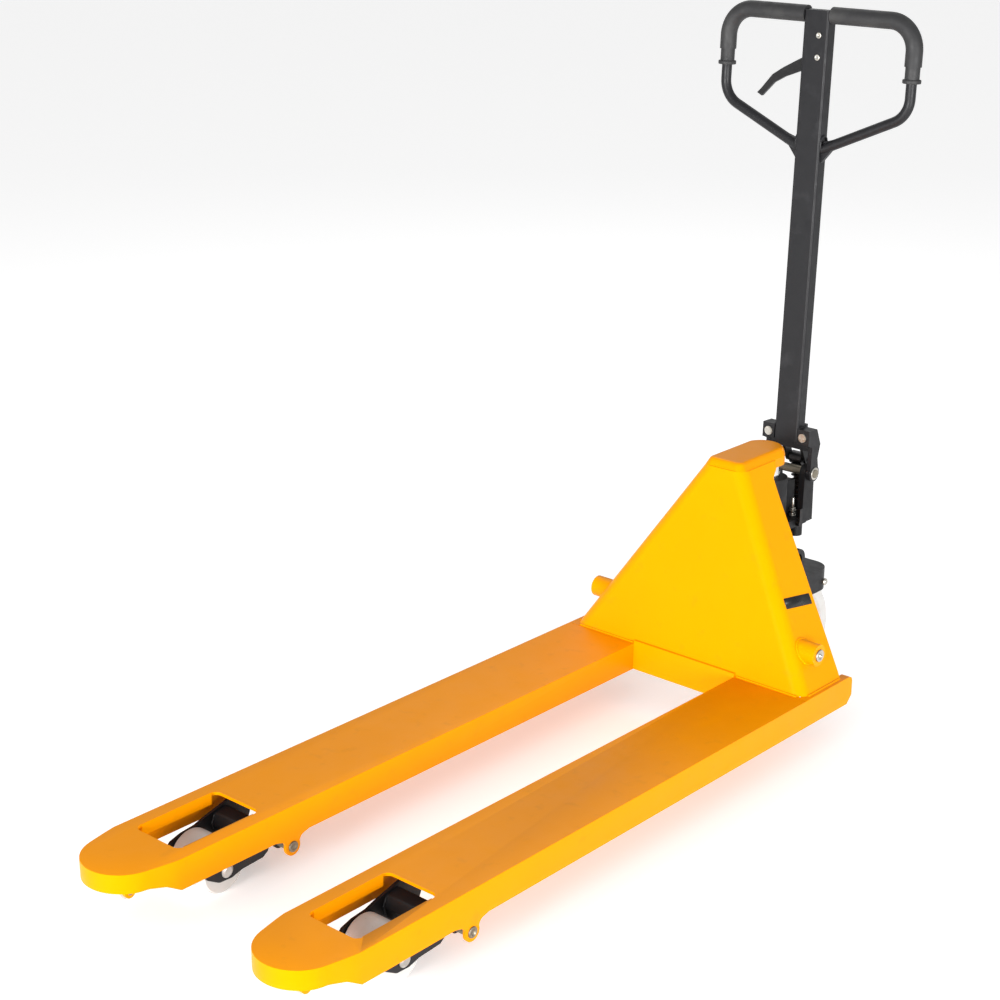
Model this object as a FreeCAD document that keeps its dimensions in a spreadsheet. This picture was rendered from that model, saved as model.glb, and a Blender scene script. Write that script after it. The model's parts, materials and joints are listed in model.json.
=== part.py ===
import FreeCAD, Part
import Sketcher
import math
import os
import re

# Hand pallet jack. Millimetres, +Z up, floor at z = 0, fork tips towards -Y, handle at +Y.
# The origin is the bottom centre of the whole machine. The rest pose has the forks a little
# above their lowest height, with the handle standing upright behind them.
# "face" is the foot of the sloping front plate; heights called "rise" are above the fork tops.

DIMENSIONS = {
    # forks
    "deck": 115, "face": 397.5, "fork_pitch": 370, "fork_width": 150, "fork_depth": 50,
    "fork_wall": 5, "fork_crease": 1057, "nose_length": 104, "nose_shoulder": 64.3,
    "shoulder_run": 52.7, "side_arc": 1072, "nose_arc": 66, "heel_reach": 145,
    "heel_strip": 17, "slot_rear": 879, "slot_front": 1038, "slot_half": 50,
    "lip_wall": 3, "lip_depth": 13, "slot_corner": 12, "nose_depth": 31,
    # sloping chassis shell
    "shell_foot": 250.6, "shell_head": 43.4, "shell_rise": 333, "shell_toe": 5,
    "shell_brow": 97, "shell_back": 232, "shell_tail": 122, "shell_wall": 6, "ridge_round": 24,
    "crown_half": 34, "crown_foot": 41.5, "crown_back": 268, "crown_low": 331, "crown_top": 347,
    # rocker and its shaft
    "shaft_back": 60, "shaft_rise": 60, "shaft_radius": 11, "boss_radius": 19, "boss_end": 243,
    "rocker_tube": 19, "tube_half": 187, "lower_arm": 88.4, "lower_arm_x": 180,
    "lower_arm_wall": 12, "rear_arm_x": 56, "rear_arm_wall": 10, "elbow_back": 76,
    "elbow_rise": 88.5, "trunnion_radius": 9, "trunnion_rise": 65,
    # swivel and pump
    "steer_back": 250, "trunnion_height": 240, "column_radius": 31, "column_foot": 212,
    "column_top": 396, "ram_radius": 17, "ram_length": 190, "collar_radius": 44,
    "collar_height": 24, "block_floor": 297, "block_top": 312,
    # steering wheels
    "wheel_radius": 100, "wheel_width": 50, "wheel_gap": 15, "wheel_back": 266,
    "axle_radius": 10, "guard_half": 74, "guard_round": 34, "guard_back": 357, "guard_top": 211.5,
    "guard_low": 171, "guard_wall": 4,
    # load wheels
    "pivot_reach": 837, "pivot_drop": 68, "pivot_radius": 9, "lug_radius": 15,
    "load_reach": 945, "load_radius": 40, "load_width": 78, "cheek_gap": 40.5,
    "cheek_wall": 5, "pin_reach": 822.8, "pin_drop": 27.4, "exit_radius": 15,
    "entry_reach": 1112, "entry_drop": 46, "entry_radius": 17,
    # handle
    "hinge_back": 317, "hinge_height": 395, "hinge_radius": 8, "lean": 2.3,
    "mast_width": 50, "mast_depth": 25, "mast_front": 27, "mast_foot": 58,
    "loop_height": 812, "loop_half": 188, "loop_elbow": 658, "loop_root": 586,
    "tube_radius": 9, "grip_radius": 14.5, "grip_neck": 12.5, "grip_end": 716, "top_bend": 48, "low_bend": 45,
    "plunger_back": 340.4, "cam_back": 20.8, "cam_rise": 15.6, "cam_radius": 12,
    "lever_x": 8, "lever_rise": 740, "running": 0.05,
}

doc = FreeCAD.newDocument("pallet_jack")
sheet = doc.addObject("Spreadsheet::Sheet", "dims")
for row, (alias, value) in enumerate(DIMENSIONS.items(), start=1):
    sheet.set("A%d" % row, alias)
    sheet.set("B%d" % row, str(value))
    sheet.setAlias("B%d" % row, alias)
doc.recompute()

ALONG = {
    "X": FreeCAD.Rotation(FreeCAD.Vector(0, 0, 1), FreeCAD.Vector(1, 0, 0)),
    "Y": FreeCAD.Rotation(FreeCAD.Vector(0, 0, 1), FreeCAD.Vector(0, 1, 0)),
    "Z": FreeCAD.Rotation(),
}
FORK_SIDES = {"left": -1, "right": 1}
NODES = {}


def size(alias):
    """The current value of a cell of the sheet."""
    return float(getattr(sheet, alias))


def formula(text):
    """Turn a formula in cell names into an expression on the sheet."""
    return re.sub(r"[a-z_]+", lambda m: ("dims." if m.group() in DIMENSIONS else "") + m.group(), str(text))


def value(text):
    """Work a formula in cell names out as a number."""
    spare = doc.addObject("App::FeaturePython", "spare")
    spare.addProperty("App::PropertyFloat", "Result")
    spare.setExpression("Result", formula(text))
    doc.recompute([spare])
    result = spare.Result
    doc.removeObject(spare.Name)
    return result


VALUES = {}


def number(text):
    """value() with a memory, because the same formulas come back often."""
    if text not in VALUES:
        VALUES[text] = float(text) if isinstance(text, (int, float)) else value(text)
    return VALUES[text]


def move(piece, at):
    """Bind an object's position to three formulas."""
    for axis, text in zip("xyz", at):
        piece.setExpression("Placement.Base." + axis, formula(text))
    return piece


def keep(name, piece):
    """Name an object as one finished sub-part."""
    piece.Label = name
    NODES[name] = piece
    return piece


def block(x, y, z, at):
    """A box with sides x, y, z whose lowest corner is at."""
    piece = doc.addObject("Part::Box", "block")
    for prop, text in (("Length", x), ("Width", y), ("Height", z)):
        piece.setExpression(prop, formula(text))
    return move(piece, at)


def barrel(radius, length, at, axis="Z"):
    """A cylinder that runs from at along the axis."""
    piece = doc.addObject("Part::Cylinder", "barrel")
    piece.setExpression("Radius", formula(radius))
    piece.setExpression("Height", formula(length))
    piece.Placement.Rotation = ALONG[axis]
    return move(piece, at)


def joined(*pieces):
    """Weld pieces together."""
    piece = doc.addObject("Part::MultiFuse", "joined")
    piece.Shapes = list(pieces)
    piece.Refine = True
    return piece


def carved(base, *tools):
    """Cut tools out of a base."""
    piece = doc.addObject("Part::Cut", "carved")
    piece.Base = base
    piece.Tool = tools[0] if len(tools) == 1 else joined(*tools)
    piece.Refine = True
    return piece


def tube(radius, bore, length, at, axis="Z"):
    """A cylinder with a round hole along it."""
    return carved(barrel(radius, length, at, axis), barrel(bore, length, at, axis))


def draw(sketch, corners):
    """Draw a closed outline, fixed by formulas for its corners.

    A corner is (across, up), or (across, up, radius) where an arc of that radius, bulging to the
    right of the way round, leads to the next corner.
    """
    places = [FreeCAD.Vector(number(c[0]), number(c[1]), 0) for c in corners]
    starts = []
    for index, corner in enumerate(corners):
        here = places[index]
        there = places[(index + 1) % len(corners)]
        if len(corner) > 2:
            chord = there - here
            radius = number(corner[2])
            rise = radius - math.sqrt(radius * radius - chord.Length * chord.Length / 4)
            bulge = FreeCAD.Vector(chord.y, -chord.x, 0).normalize() * rise
            edge = sketch.addGeometry(Part.Arc(here, (here + there) / 2 + bulge, there))
            note = sketch.addConstraint(Sketcher.Constraint("Radius", edge, radius))
            sketch.setExpression("Constraints[%d]" % note, formula(corner[2]))
        else:
            edge = sketch.addGeometry(Part.LineSegment(here, there))
        first = 1 if (sketch.getPoint(edge, 1) - here).Length < 1e-4 else 2
        starts.append((edge, first))
    for index, (edge, first) in enumerate(starts):
        after, after_first = starts[(index + 1) % len(starts)]
        sketch.addConstraint(Sketcher.Constraint("Coincident", edge, 3 - first, after, after_first))
        for kind, text, axis in (("DistanceX", corners[index][0], -2), ("DistanceY", corners[index][1], -1)):
            amount = number(text)
            if abs(amount) < 1e-9:
                sketch.addConstraint(Sketcher.Constraint("PointOnObject", edge, first, axis))
                continue
            note = sketch.addConstraint(Sketcher.Constraint(kind, -1, 1, edge, first, amount))
            if not isinstance(text, (int, float)):
                sketch.setExpression("Constraints[%d]" % note, formula(text))


def sketch_on(body, plane):
    """A sketch on one of a body's own origin planes."""
    sketch = body.newObject("Sketcher::SketchObject", "outline")
    face = [f for f in body.Origin.OriginFeatures if f.Role == plane + "_Plane"][0]
    sketch.AttachmentSupport = [(face, "")]
    sketch.MapMode = "FlatFace"
    return sketch


def plate(plane, corners, thickness, at, rounds=(), turn=None):
    """A flat piece: an outline on a plane, padded along that plane's +X, +Y or +Z.

    rounds lists (corner number, radius): the edge at that corner is filleted.
    turn is a formula for degrees about X, applied at the piece's own origin.
    """
    body = doc.addObject("PartDesign::Body", "plate")
    sketch = sketch_on(body, plane)
    draw(sketch, corners)
    pad = body.newObject("PartDesign::Pad", "pad")
    pad.Profile = sketch
    pad.setExpression("Length", formula(thickness))
    pad.Reversed = plane == "XZ"
    doc.recompute()
    for radius in sorted({r for _, r in rounds}, key=str):
        spots = [(number(corners[i][0]), number(corners[i][1])) for i, r in rounds if r == radius]
        before = body.Tip
        fillet = body.newObject("PartDesign::Fillet", "rounding")
        fillet.Base = (before, edges_at(before.Shape, plane, spots))
        fillet.setExpression("Radius", formula(radius))
        doc.recompute()
    if turn is not None:
        body.Placement.Rotation = FreeCAD.Rotation(FreeCAD.Vector(1, 0, 0), 1)
        body.setExpression("Placement.Rotation.Angle", formula(turn))
    return move(body, at)


def edges_at(shape, plane, spots):
    """Names of the straight edges square to the plane at the given spots."""
    across, up = {"XY": (0, 1), "XZ": (0, 2), "YZ": (1, 2)}[plane]
    names = []
    for index, edge in enumerate(shape.Edges, start=1):
        if len(edge.Vertexes) != 2:
            continue
        ends = [v.Point for v in edge.Vertexes]
        for a, b in spots:
            if all(abs(p[across] - a) < 1e-3 and abs(p[up] - b) < 1e-3 for p in ends):
                names.append("Edge%d" % index)
    return names


def turned(corners, at, axis="X"):
    """A round piece: an outline of (along, radius) corners turned about its axis."""
    body = doc.addObject("PartDesign::Body", "turned")
    sketch = sketch_on(body, "XY")
    draw(sketch, corners)
    turn = body.newObject("PartDesign::Revolution", "turn")
    turn.Profile = sketch
    turn.ReferenceAxis = (sketch, ["H_Axis"])
    turn.Angle = 360
    lay = {"X": FreeCAD.Rotation(), "Z": FreeCAD.Rotation(FreeCAD.Vector(0, 1, 0), -90)}
    body.Placement.Rotation = lay[axis]
    return move(body, at)


def link(length, near, far, thickness, at, turn):
    """A flat bar with round ends in the YZ plane, running along +Y before it is turned."""
    web = plate("YZ", [(0, "-(%s)" % near), (length, "-(%s)" % far), (length, far), (0, near)],
                thickness, ("0", "0", "0"))
    ends = [barrel(near, thickness, ("0", "0", "0"), "X"), barrel(far, thickness, ("0", length, "0"), "X")]
    bar = joined(web, *ends)
    bar.Placement.Rotation = FreeCAD.Rotation(FreeCAD.Vector(1, 0, 0), 1)
    bar.setExpression("Placement.Rotation.Angle", formula(turn))
    return move(bar, at)


def slotted(length, radius, thickness, at, turn):
    """The tool for a long hole: a straight slot with round ends, running along +Y."""
    return link(length, radius, radius, thickness, at, turn)


# ---------------------------------------------------------------- forks

def fork_outline(inset, rear):
    """The outline of a fork seen from above, from its centre line and the front plate's foot."""
    half = "(fork_width/2-%s)" % inset
    crease = "-fork_crease"
    shoulder = "(nose_shoulder-%s*0.975)" % inset
    run = "(-fork_crease-shoulder_run+%s*0.223)" % inset
    return [
        (half, rear),
        ("-" + half, rear),
        ("-" + half, crease, "side_arc-%s" % inset),
        ("-" + shoulder, run, "nose_arc-%s" % inset),
        (shoulder, run, "side_arc-%s" % inset),
        (half, crease),
    ]


def lug(side_x):
    """The boss under a fork flange that carries the wheel bracket's pivot."""
    web = plate("YZ", [
        ("-pivot_reach-46", "deck-fork_depth+3"),
        ("-pivot_reach-16", "deck-fork_depth-5"),
        ("-pivot_reach-11", "deck-pivot_drop-10"),
        ("-pivot_reach+11", "deck-pivot_drop-10"),
        ("-pivot_reach+16", "deck-fork_depth-5"),
        ("-pivot_reach+46", "deck-fork_depth+3"),
    ], "fork_wall", (side_x, "face", "0"), rounds=[(1, "12"), (4, "12")])
    boss = barrel("lug_radius", "fork_wall", (side_x, "face-pivot_reach", "deck-pivot_drop"), "X")
    return joined(web, boss)


def fork(side):
    """One fork: a bent channel with a slot over the load wheel, lips, lugs and roller tabs."""
    centre = "%d*fork_pitch/2" % side
    half = "fork_width/2"
    skin = plate("XY", fork_outline("0", "heel_reach"), "fork_depth", (centre, "face", "deck-fork_depth"))
    hollow = plate("XY", fork_outline("fork_wall", "heel_reach+1"), "fork_depth-fork_wall",
                   (centre, "face", "deck-fork_depth"))
    slot = plate("XY", [("slot_half", "-slot_front"), ("slot_half", "-slot_rear"),
                        ("-slot_half", "-slot_rear"), ("-slot_half", "-slot_front")],
                 "fork_wall*3", (centre, "face", "deck-fork_wall*2"),
                 rounds=[(n, "slot_corner") for n in range(4)])
    arch = plate("YZ", [
        ("-fork_crease+4", "deck-fork_depth-1"),
        ("-fork_crease-22", "deck-nose_depth-5"),
        ("-fork_crease-50", "deck-nose_depth+1"),
        ("-fork_crease-69", "deck-nose_depth"),
        ("-fork_crease-nose_length-2", "deck-nose_depth+1"),
        ("-fork_crease-nose_length-2", "deck-fork_depth-1"),
    ], "fork_width+2", (centre + "-fork_width/2-1", "face", "0"),
        rounds=[(1, "24"), (2, "30")])
    inner = "-fork_width/2-1" if side > 0 else "-fork_width/2+heel_strip"
    opening = block("fork_width-heel_strip+1", "heel_reach", "fork_depth+2",
                    (centre + inner, "face+8", "deck-fork_depth-1"))
    heel_cuts = [plate("YZ", [(0, 0), ("-14", 0), (0, "14")], "fork_width+2",
                       (centre + "-fork_width/2-1", "face+heel_reach", "deck-fork_depth"))]
    heel_cuts.append(plate("YZ", [(0, 0), ("-9", 0), ("-4", "-2"), ("-2", "-4"), (0, "-9")], "fork_width+2",
                           (centre + "-fork_width/2-1", "face+heel_reach", "deck")))
    channel = carved(skin, hollow, slot, arch, opening, *heel_cuts)
    lips = [block("lip_wall", "slot_front-slot_rear-2*slot_corner", "lip_depth+fork_wall-1",
                  (centre + "+%s" % x, "face-slot_front+slot_corner", "deck-fork_wall-lip_depth"))
            for x in ("slot_half-lip_wall", "(-slot_half)")]
    lugs = [lug(centre + x) for x in ("-fork_width/2", "+fork_width/2-fork_wall")]
    tabs = []
    for x in ("-29", "+23"):
        tabs.append(block("6", "28", "fork_depth-fork_wall-8",
                          (centre + x, "face-entry_reach-14", "deck-fork_depth+8")))
        tabs.append(barrel("10", "6", (centre + x, "face-entry_reach", "deck-entry_drop"), "X"))
    whole = joined(channel, *lips, *lugs, *tabs)
    groove = block("fork_width+2", "1.5", "1", (centre + "-fork_width/2-1", "face-1", "deck-0.6"))
    return carved(whole, groove,
                  barrel("pivot_radius+running", "fork_width+2",
                         (centre + "-fork_width/2-1", "face-pivot_reach", "deck-pivot_drop"), "X"),
                  barrel("5", "70", (centre + "-35", "face-entry_reach", "deck-entry_drop"), "X"))


for word, side in FORK_SIDES.items():
    keep("fork_" + word, fork(side))


def pair(radius, length, y, z):
    """Two matching cylinders along X, one at the middle of each fork."""
    pieces = [barrel(radius, length, ("%d*fork_pitch/2-(%s)/2" % (side, length), y, z), "X")
              for side in FORK_SIDES.values()]
    group = doc.addObject("Part::Compound", "pair")
    group.Links = pieces
    return group


def group(pieces):
    """Identical pieces that share one node."""
    whole = doc.addObject("Part::Compound", "group")
    whole.Links = pieces
    return whole


keep("pivot_shafts", pair("pivot_radius", "fork_width+2", "face-pivot_reach", "deck-pivot_drop"))
keep("entry_axles", pair("5", "60", "face-entry_reach", "deck-entry_drop"))

# ---------------------------------------------------------------- chassis shell


def level(corners, height):
    """A closed outline lying flat at a height."""
    sketch = doc.addObject("Sketcher::SketchObject", "level")
    draw(sketch, corners)
    return move(sketch, ("0", "face", height))


def frustum(side_inset, front_inset, back, foot, head):
    """The block inside the shell's two sloping sides and sloping front."""
    def at_rise(rise):
        part = "(%s)/shell_rise" % rise
        half = "(shell_foot-(shell_foot-shell_head)*%s-(%s))" % (part, side_inset)
        front = "(shell_toe+(shell_brow-shell_toe)*%s+(%s))" % (part, front_inset)
        return [(half, front), (half, back), ("-" + half, back), ("-" + half, front)]
    loft = doc.addObject("Part::Loft", "frustum")
    loft.Sections = [level(at_rise(foot), "deck+(%s)" % foot), level(at_rise(head), "deck+(%s)" % head)]
    loft.Solid = True
    loft.Ruled = True
    return loft


def rounded_ridges(loft, radius):
    """Round the two long front edges of the shell's block."""
    doc.recompute()
    piece = doc.addObject("Part::Fillet", "ridges")
    piece.Base = loft
    ridges = []
    for index, edge in enumerate(loft.Shape.Edges, start=1):
        run = edge.Vertexes[-1].Point - edge.Vertexes[0].Point
        forward = min(v.Point.y for v in edge.Vertexes)
        if abs(run.z) > 10 and forward < size("face") + size("shell_brow") + 5:
            ridges.append((index, radius, radius))
    piece.Edges = ridges
    return piece


outer = rounded_ridges(frustum("0", "0", "shell_back", "0", "shell_rise"), size("ridge_round"))
inner = rounded_ridges(frustum("shell_wall*1.18", "shell_wall*1.04", "shell_back+20", "-2", "shell_rise+2"),
                       size("ridge_round") - size("shell_wall"))
rear_trim = plate("YZ", [
    ("shell_tail-4", "-5"), ("shell_tail", "10"), ("shell_tail+34", "shell_rise*0.63"),
    ("shell_tail+45", "shell_rise*0.84"), ("shell_tail+51", "shell_rise*0.93"),
    ("shell_tail+70", "shell_rise*0.965"), ("shell_tail+76", "shell_rise+5"),
    ("shell_back+30", "shell_rise+5"), ("shell_back+30", "-5"),
], "2*shell_foot+20", ("-shell_foot-10", "face", "deck"), rounds=[(4, "8"), (5, "6")])
shell = carved(outer, inner, rear_trim)
bosses = [barrel("boss_radius", "60", (x, "face+shaft_back", "deck+shaft_rise"), "X")
          for x in ("boss_end-60", "-boss_end")]
skirt = block("fork_pitch-fork_width", "shell_wall", "fork_depth+6",
              ("-(fork_pitch-fork_width)/2", "face+1", "deck-fork_depth"))
boss_hollow = carved(joined(*bosses), block("2*boss_end-100", "60", "60",
                     ("-boss_end+50", "face+shaft_back-30", "deck+shaft_rise-30")))
keep("chassis_shell", carved(joined(shell, boss_hollow, skirt),
                             barrel("shaft_radius+running", "2*boss_end+2",
                                    ("-boss_end-1", "face+shaft_back", "deck+shaft_rise"), "X")))
keep("rocker_shaft", barrel("shaft_radius", "2*boss_end+4",
                            ("-boss_end-2", "face+shaft_back", "deck+shaft_rise"), "X"))

def crown_outline(half, front, back):
    """The crown seen from above: square in front, round behind."""
    return [(half, front), (half, back, "(%s)*1.03" % half), ("-" + half, back), ("-" + half, front)]


def crown_block():
    """The crown's solid cap, following the slope of the shell."""
    loft = doc.addObject("Part::Loft", "crown_loft")
    foot = crown_outline("crown_foot", "shell_brow+2", "crown_back-crown_foot")
    top = crown_outline("crown_half", "shell_brow+6", "crown_back-crown_half-3")
    loft.Sections = [level(foot, "deck+shell_rise"), level(top, "deck+crown_top")]
    loft.Solid = True
    loft.Ruled = True
    return loft


def rounded_brow(piece, radius, height):
    """Round the edges of a piece's top face."""
    doc.recompute()
    softened = doc.addObject("Part::Fillet", "brow")
    softened.Base = piece
    rim = []
    for index, edge in enumerate(piece.Shape.Edges, start=1):
        if all(abs(v.Point.z - height) < 1e-3 for v in edge.Vertexes):
            rim.append((index, radius, radius))
    softened.Edges = rim
    return softened


crown = rounded_brow(rounded_ridges(crown_block(), 14), 9, number("deck+crown_top"))
crown_rear = plate("XY", crown_outline("crown_foot", "shell_tail+78", "crown_back-crown_foot"),
                   "16", ("0", "face", "deck+shell_rise-16"))
keep("crown_plate", carved(joined(crown, crown_rear),
                           barrel("ram_radius+running", "36", ("0", "face+steer_back", "deck+crown_low-32"))))
keep("lift_ram", barrel("ram_radius", "ram_length", ("0", "face+steer_back", "deck+crown_low+4-ram_length")))

# ---------------------------------------------------------------- swivel collar and rocker

TRUNNION = ("face+steer_back", "trunnion_height")
collar_ring = barrel("collar_radius", "collar_height", ("0", TRUNNION[0], TRUNNION[1] + "-collar_height/2"))
collar_bar = block("2*rear_arm_x-16", "20", "18", ("-rear_arm_x+8", TRUNNION[0] + "-10", TRUNNION[1] + "-9"))
trunnions = barrel("trunnion_radius", "2*rear_arm_x+22", ("-rear_arm_x-11", *TRUNNION), "X")
keep("swivel_collar", carved(joined(collar_ring, collar_bar, trunnions),
                             barrel("column_radius+running", "collar_height+2",
                                    ("0", TRUNNION[0], TRUNNION[1] + "-collar_height/2-1"))))
keep("thrust_bearing", tube("collar_radius-1", "column_radius+running", "5.7",
                            ("0", TRUNNION[0], "column_foot+10")))

SHAFT = ("face+shaft_back", "deck+shaft_rise")
rear_run = "(steer_back-shaft_back-elbow_back)"
elbow_fall = "(elbow_rise-trunnion_rise)"
elbow_angle = math.degrees(math.atan2(size("elbow_rise"), size("elbow_back")))
elbow_length = math.hypot(size("elbow_rise"), size("elbow_back"))
rear_angle = -math.degrees(math.atan2(number(elbow_fall), number(rear_run)))
rear_length = math.hypot(number(elbow_fall), number(rear_run))
slot_angle = math.degrees(math.atan2(size("trunnion_rise"), size("steer_back") - size("shaft_back")))
hang_angle = math.degrees(math.asin((size("shaft_rise") + size("pin_drop")) / size("lower_arm")))


def rear_arm(x):
    """One bent arm from the rocker tube up over the wheel guard to the collar's trunnion."""
    left = "%s-rear_arm_wall/2" % x
    low = link(str(elbow_length), "21", "13", "rear_arm_wall", (left, *SHAFT), str(elbow_angle))
    high = link(str(rear_length), "13", "20", "rear_arm_wall",
                (left, "face+shaft_back+elbow_back", "deck+shaft_rise+elbow_rise"), str(rear_angle))
    window = slotted("24", "trunnion_radius+4", "rear_arm_wall+2",
                     (left + "-1", TRUNNION[0] + "-11", TRUNNION[1] + "-11*%.4f" % math.tan(math.radians(slot_angle))),
                     str(slot_angle))
    tip = link("14", "21", "21", "rear_arm_wall", (left, *TRUNNION), str(slot_angle))
    return carved(joined(low, high, tip), window)


def lower_arm(x):
    """One hanging arm from the rocker tube to a push rod, with a long hole for the rod's pin."""
    left = "%s-lower_arm_wall/2" % x
    turn = str(-hang_angle)
    bar = link("lower_arm+9", "21", "19", "lower_arm_wall", (left, *SHAFT), turn)
    drop = math.radians(hang_angle)
    start = size("lower_arm") - 5
    hole = slotted("16", "11.4", "lower_arm_wall+2",
                   (left + "-1", "%s+%.4f" % (SHAFT[0], start * math.cos(drop)),
                    "%s-%.4f" % (SHAFT[1], start * math.sin(drop))), turn)
    return carved(bar, hole)


arms = [rear_arm(x) for x in ("rear_arm_x", "(-rear_arm_x)")]
arms += [lower_arm(x) for x in ("lower_arm_x", "(-lower_arm_x)")]
rocker_tube = barrel("rocker_tube", "2*tube_half", ("-tube_half", *SHAFT), "X")
keep("rocker_crank", carved(joined(rocker_tube, *arms),
                            barrel("shaft_radius+running", "2*tube_half+2", ("-tube_half-1", *SHAFT), "X")))

# ---------------------------------------------------------------- push rods and wheel brackets

ROD_HEIGHT = "deck-pin_drop"
ROD_REAR = "face+shaft_back+%.3f" % (size("lower_arm") * math.cos(math.radians(hang_angle)))
ROD_FRONT = "face-pin_reach"


def push_rod(side):
    """A round bar under the fork, with an eye in front and a fork end at the rocker."""
    x = "%d*lower_arm_x" % side
    bar = barrel("11", "pin_reach+20", (x, "face-pin_reach+6", ROD_HEIGHT), "Y")
    eye = barrel("13", "30", (x + "-15", ROD_FRONT, ROD_HEIGHT), "X")
    yoke_base = block("30", "26", "28", (x + "-15", "face+14", ROD_HEIGHT + "-14"))
    cheeks = [link("36", "14", "13", "8", (x + dx, ROD_REAR + "-36", ROD_HEIGHT), "0") for dx in ("-15", "+7")]
    whole = joined(bar, eye, yoke_base, *cheeks)
    return carved(whole,
                  barrel("6+running", "32", (x + "-16", ROD_FRONT, ROD_HEIGHT), "X"),
                  barrel("7", "32", (x + "-16", ROD_REAR, ROD_HEIGHT), "X"))


BRACKET = [
    ("-990", "-58"), ("-984", "-76"), ("-960", "-90"), ("-935", "-91"), ("-915", "-85.5"),
    ("-872", "-83"), ("-862", "-76"), ("-857", "-64"), ("-838", "-60"), ("-824", "-62"),
    ("-811", "-30"), ("-814", "-17"), ("-850", "-15"), ("-893", "-26"), ("-912", "-31"),
    ("-930", "-37"), ("-958", "-40"), ("-978", "-46"),
]


def bracket_cheek(x):
    """One side plate of a load wheel's bracket, with its three eyes."""
    outline = [(reach, "deck" + drop) for reach, drop in BRACKET]
    body = plate("YZ", outline, "cheek_wall", (x, "face", "0"),
                 rounds=[(0, "6"), (1, "8"), (2, "12"), (5, "5"), (12, "6"), (16, "9")])
    pivot = barrel("13", "cheek_wall", (x, "face-pivot_reach", "deck-pivot_drop"), "X")
    eye = barrel("11", "cheek_wall", (x, ROD_FRONT, ROD_HEIGHT), "X")
    return joined(body, pivot, eye)


def wheel_bracket(side):
    """A welded carrier: two cheeks and a web, pivoting on the fork's shaft."""
    centre = "%d*fork_pitch/2" % side
    cheeks = [bracket_cheek(centre + x) for x in ("+cheek_gap", "-cheek_gap-cheek_wall")]
    web = plate("YZ", [("-891", "deck-29"), ("-898", "deck-46"), ("-893", "deck-64"), ("-870", "deck-66"),
                       ("-862", "deck-46"), ("-866", "deck-25")],
                "2*cheek_gap+2", (centre + "-cheek_gap-1", "face", "0"), rounds=[(0, "4"), (5, "4")])
    pin_bosses = [barrel("12", "cheek_gap-20", (centre + x, ROD_FRONT, ROD_HEIGHT), "X")
                  for x in ("+21", "-cheek_gap-1")]
    whole = joined(*cheeks, web, *pin_bosses)
    span = "2*cheek_gap+2*cheek_wall+2"
    left = centre + "-cheek_gap-cheek_wall-1"
    return carved(whole,
                  barrel("pivot_radius+running", span, (left, "face-pivot_reach", "deck-pivot_drop"), "X"),
                  barrel("6", span, (left, ROD_FRONT, ROD_HEIGHT), "X"),
                  barrel("axle_radius", span, (left, "face-load_reach", "load_radius"), "X"))


def load_axle(side):
    """The load wheel's axle, with a domed head outside each cheek."""
    left = "%d*fork_pitch/2-cheek_gap-cheek_wall" % side
    length = "(2*cheek_gap+2*cheek_wall)"
    return turned([("-5", 0), ("-5", "axle_radius-3"), ("-2", "axle_radius+1"), (0, "axle_radius+1"),
                   (0, "axle_radius"), (length, "axle_radius"), (length, "axle_radius+1"),
                   (length + "+2", "axle_radius+1"), (length + "+5", "axle_radius-3"), (length + "+5", 0)],
                  (left, "face-load_reach", "load_radius"))


def load_roller(side):
    """A solid nylon load wheel with chamfered rims and a bearing seat at each end."""
    half = "load_width/2"
    return turned([
        ("-" + half, "axle_radius+10"), ("-" + half, "load_radius-3"), ("-%s+3" % half, "load_radius"),
        (half + "-3", "load_radius"), (half, "load_radius-3"), (half, "axle_radius+10"),
        (half + "-12", "axle_radius+10"), (half + "-12", "axle_radius+3"),
        ("-%s+12" % half, "axle_radius+3"), ("-%s+12" % half, "axle_radius+10"),
    ], ("%d*fork_pitch/2" % side, "face-load_reach", "load_radius"))


def bearing(left, y, z, bore, radius, width):
    """A shielded ball bearing as one ring with a shallow groove in each face."""
    mid = "(%s+%s)/2" % (bore, radius)
    return turned([
        (0, bore), (0, mid + "-2.2"), (0.8, mid + "-2"), (0.8, mid + "+2"), (0, mid + "+2.2"), (0, radius),
        (width, radius), (width, mid + "+2.2"), (width + "-0.8", mid + "+2"),
        (width + "-0.8", mid + "-2"), (width, mid + "-2.2"), (width, bore),
    ], (left, y, z))


for word, side in FORK_SIDES.items():
    centre = "%d*fork_pitch/2" % side
    keep("push_rod_" + word, push_rod(side))
    keep("rod_pin_" + word, barrel("7", "34", ("%d*lower_arm_x-17" % side, ROD_REAR, ROD_HEIGHT), "X"))
    keep("wheel_bracket_" + word, wheel_bracket(side))
    keep("bracket_pin_" + word, barrel("6", "2*cheek_gap+2*cheek_wall+2",
                                       (centre + "-cheek_gap-cheek_wall-1", ROD_FRONT, ROD_HEIGHT), "X"))
    keep("load_axle_" + word, load_axle(side))
    keep("load_roller_" + word, load_roller(side))
    keep("load_bearings_" + word, group([
        bearing(centre + x, "face-load_reach", "load_radius", "axle_radius+running", "axle_radius+10", "12")
        for x in ("-load_width/2", "+load_width/2-12")]))
    keep("entry_roller_" + word, turned([
        (-20, "5+running"), (-20, "entry_radius-4"), (-16, "entry_radius"), (16, "entry_radius"),
        (20, "entry_radius-4"), (20, "5+running")], (centre, "face-entry_reach", "deck-entry_drop")))
    keep("exit_roller_" + word, turned([
        (-17, "pivot_radius+running"), (-17, "exit_radius-2"), (-15, "exit_radius"), (15, "exit_radius"),
        (17, "exit_radius-2"), (17, "pivot_radius+running")],
        (centre, "face-pivot_reach", "deck-pivot_drop")))

# ---------------------------------------------------------------- pump and steering wheels

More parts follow.
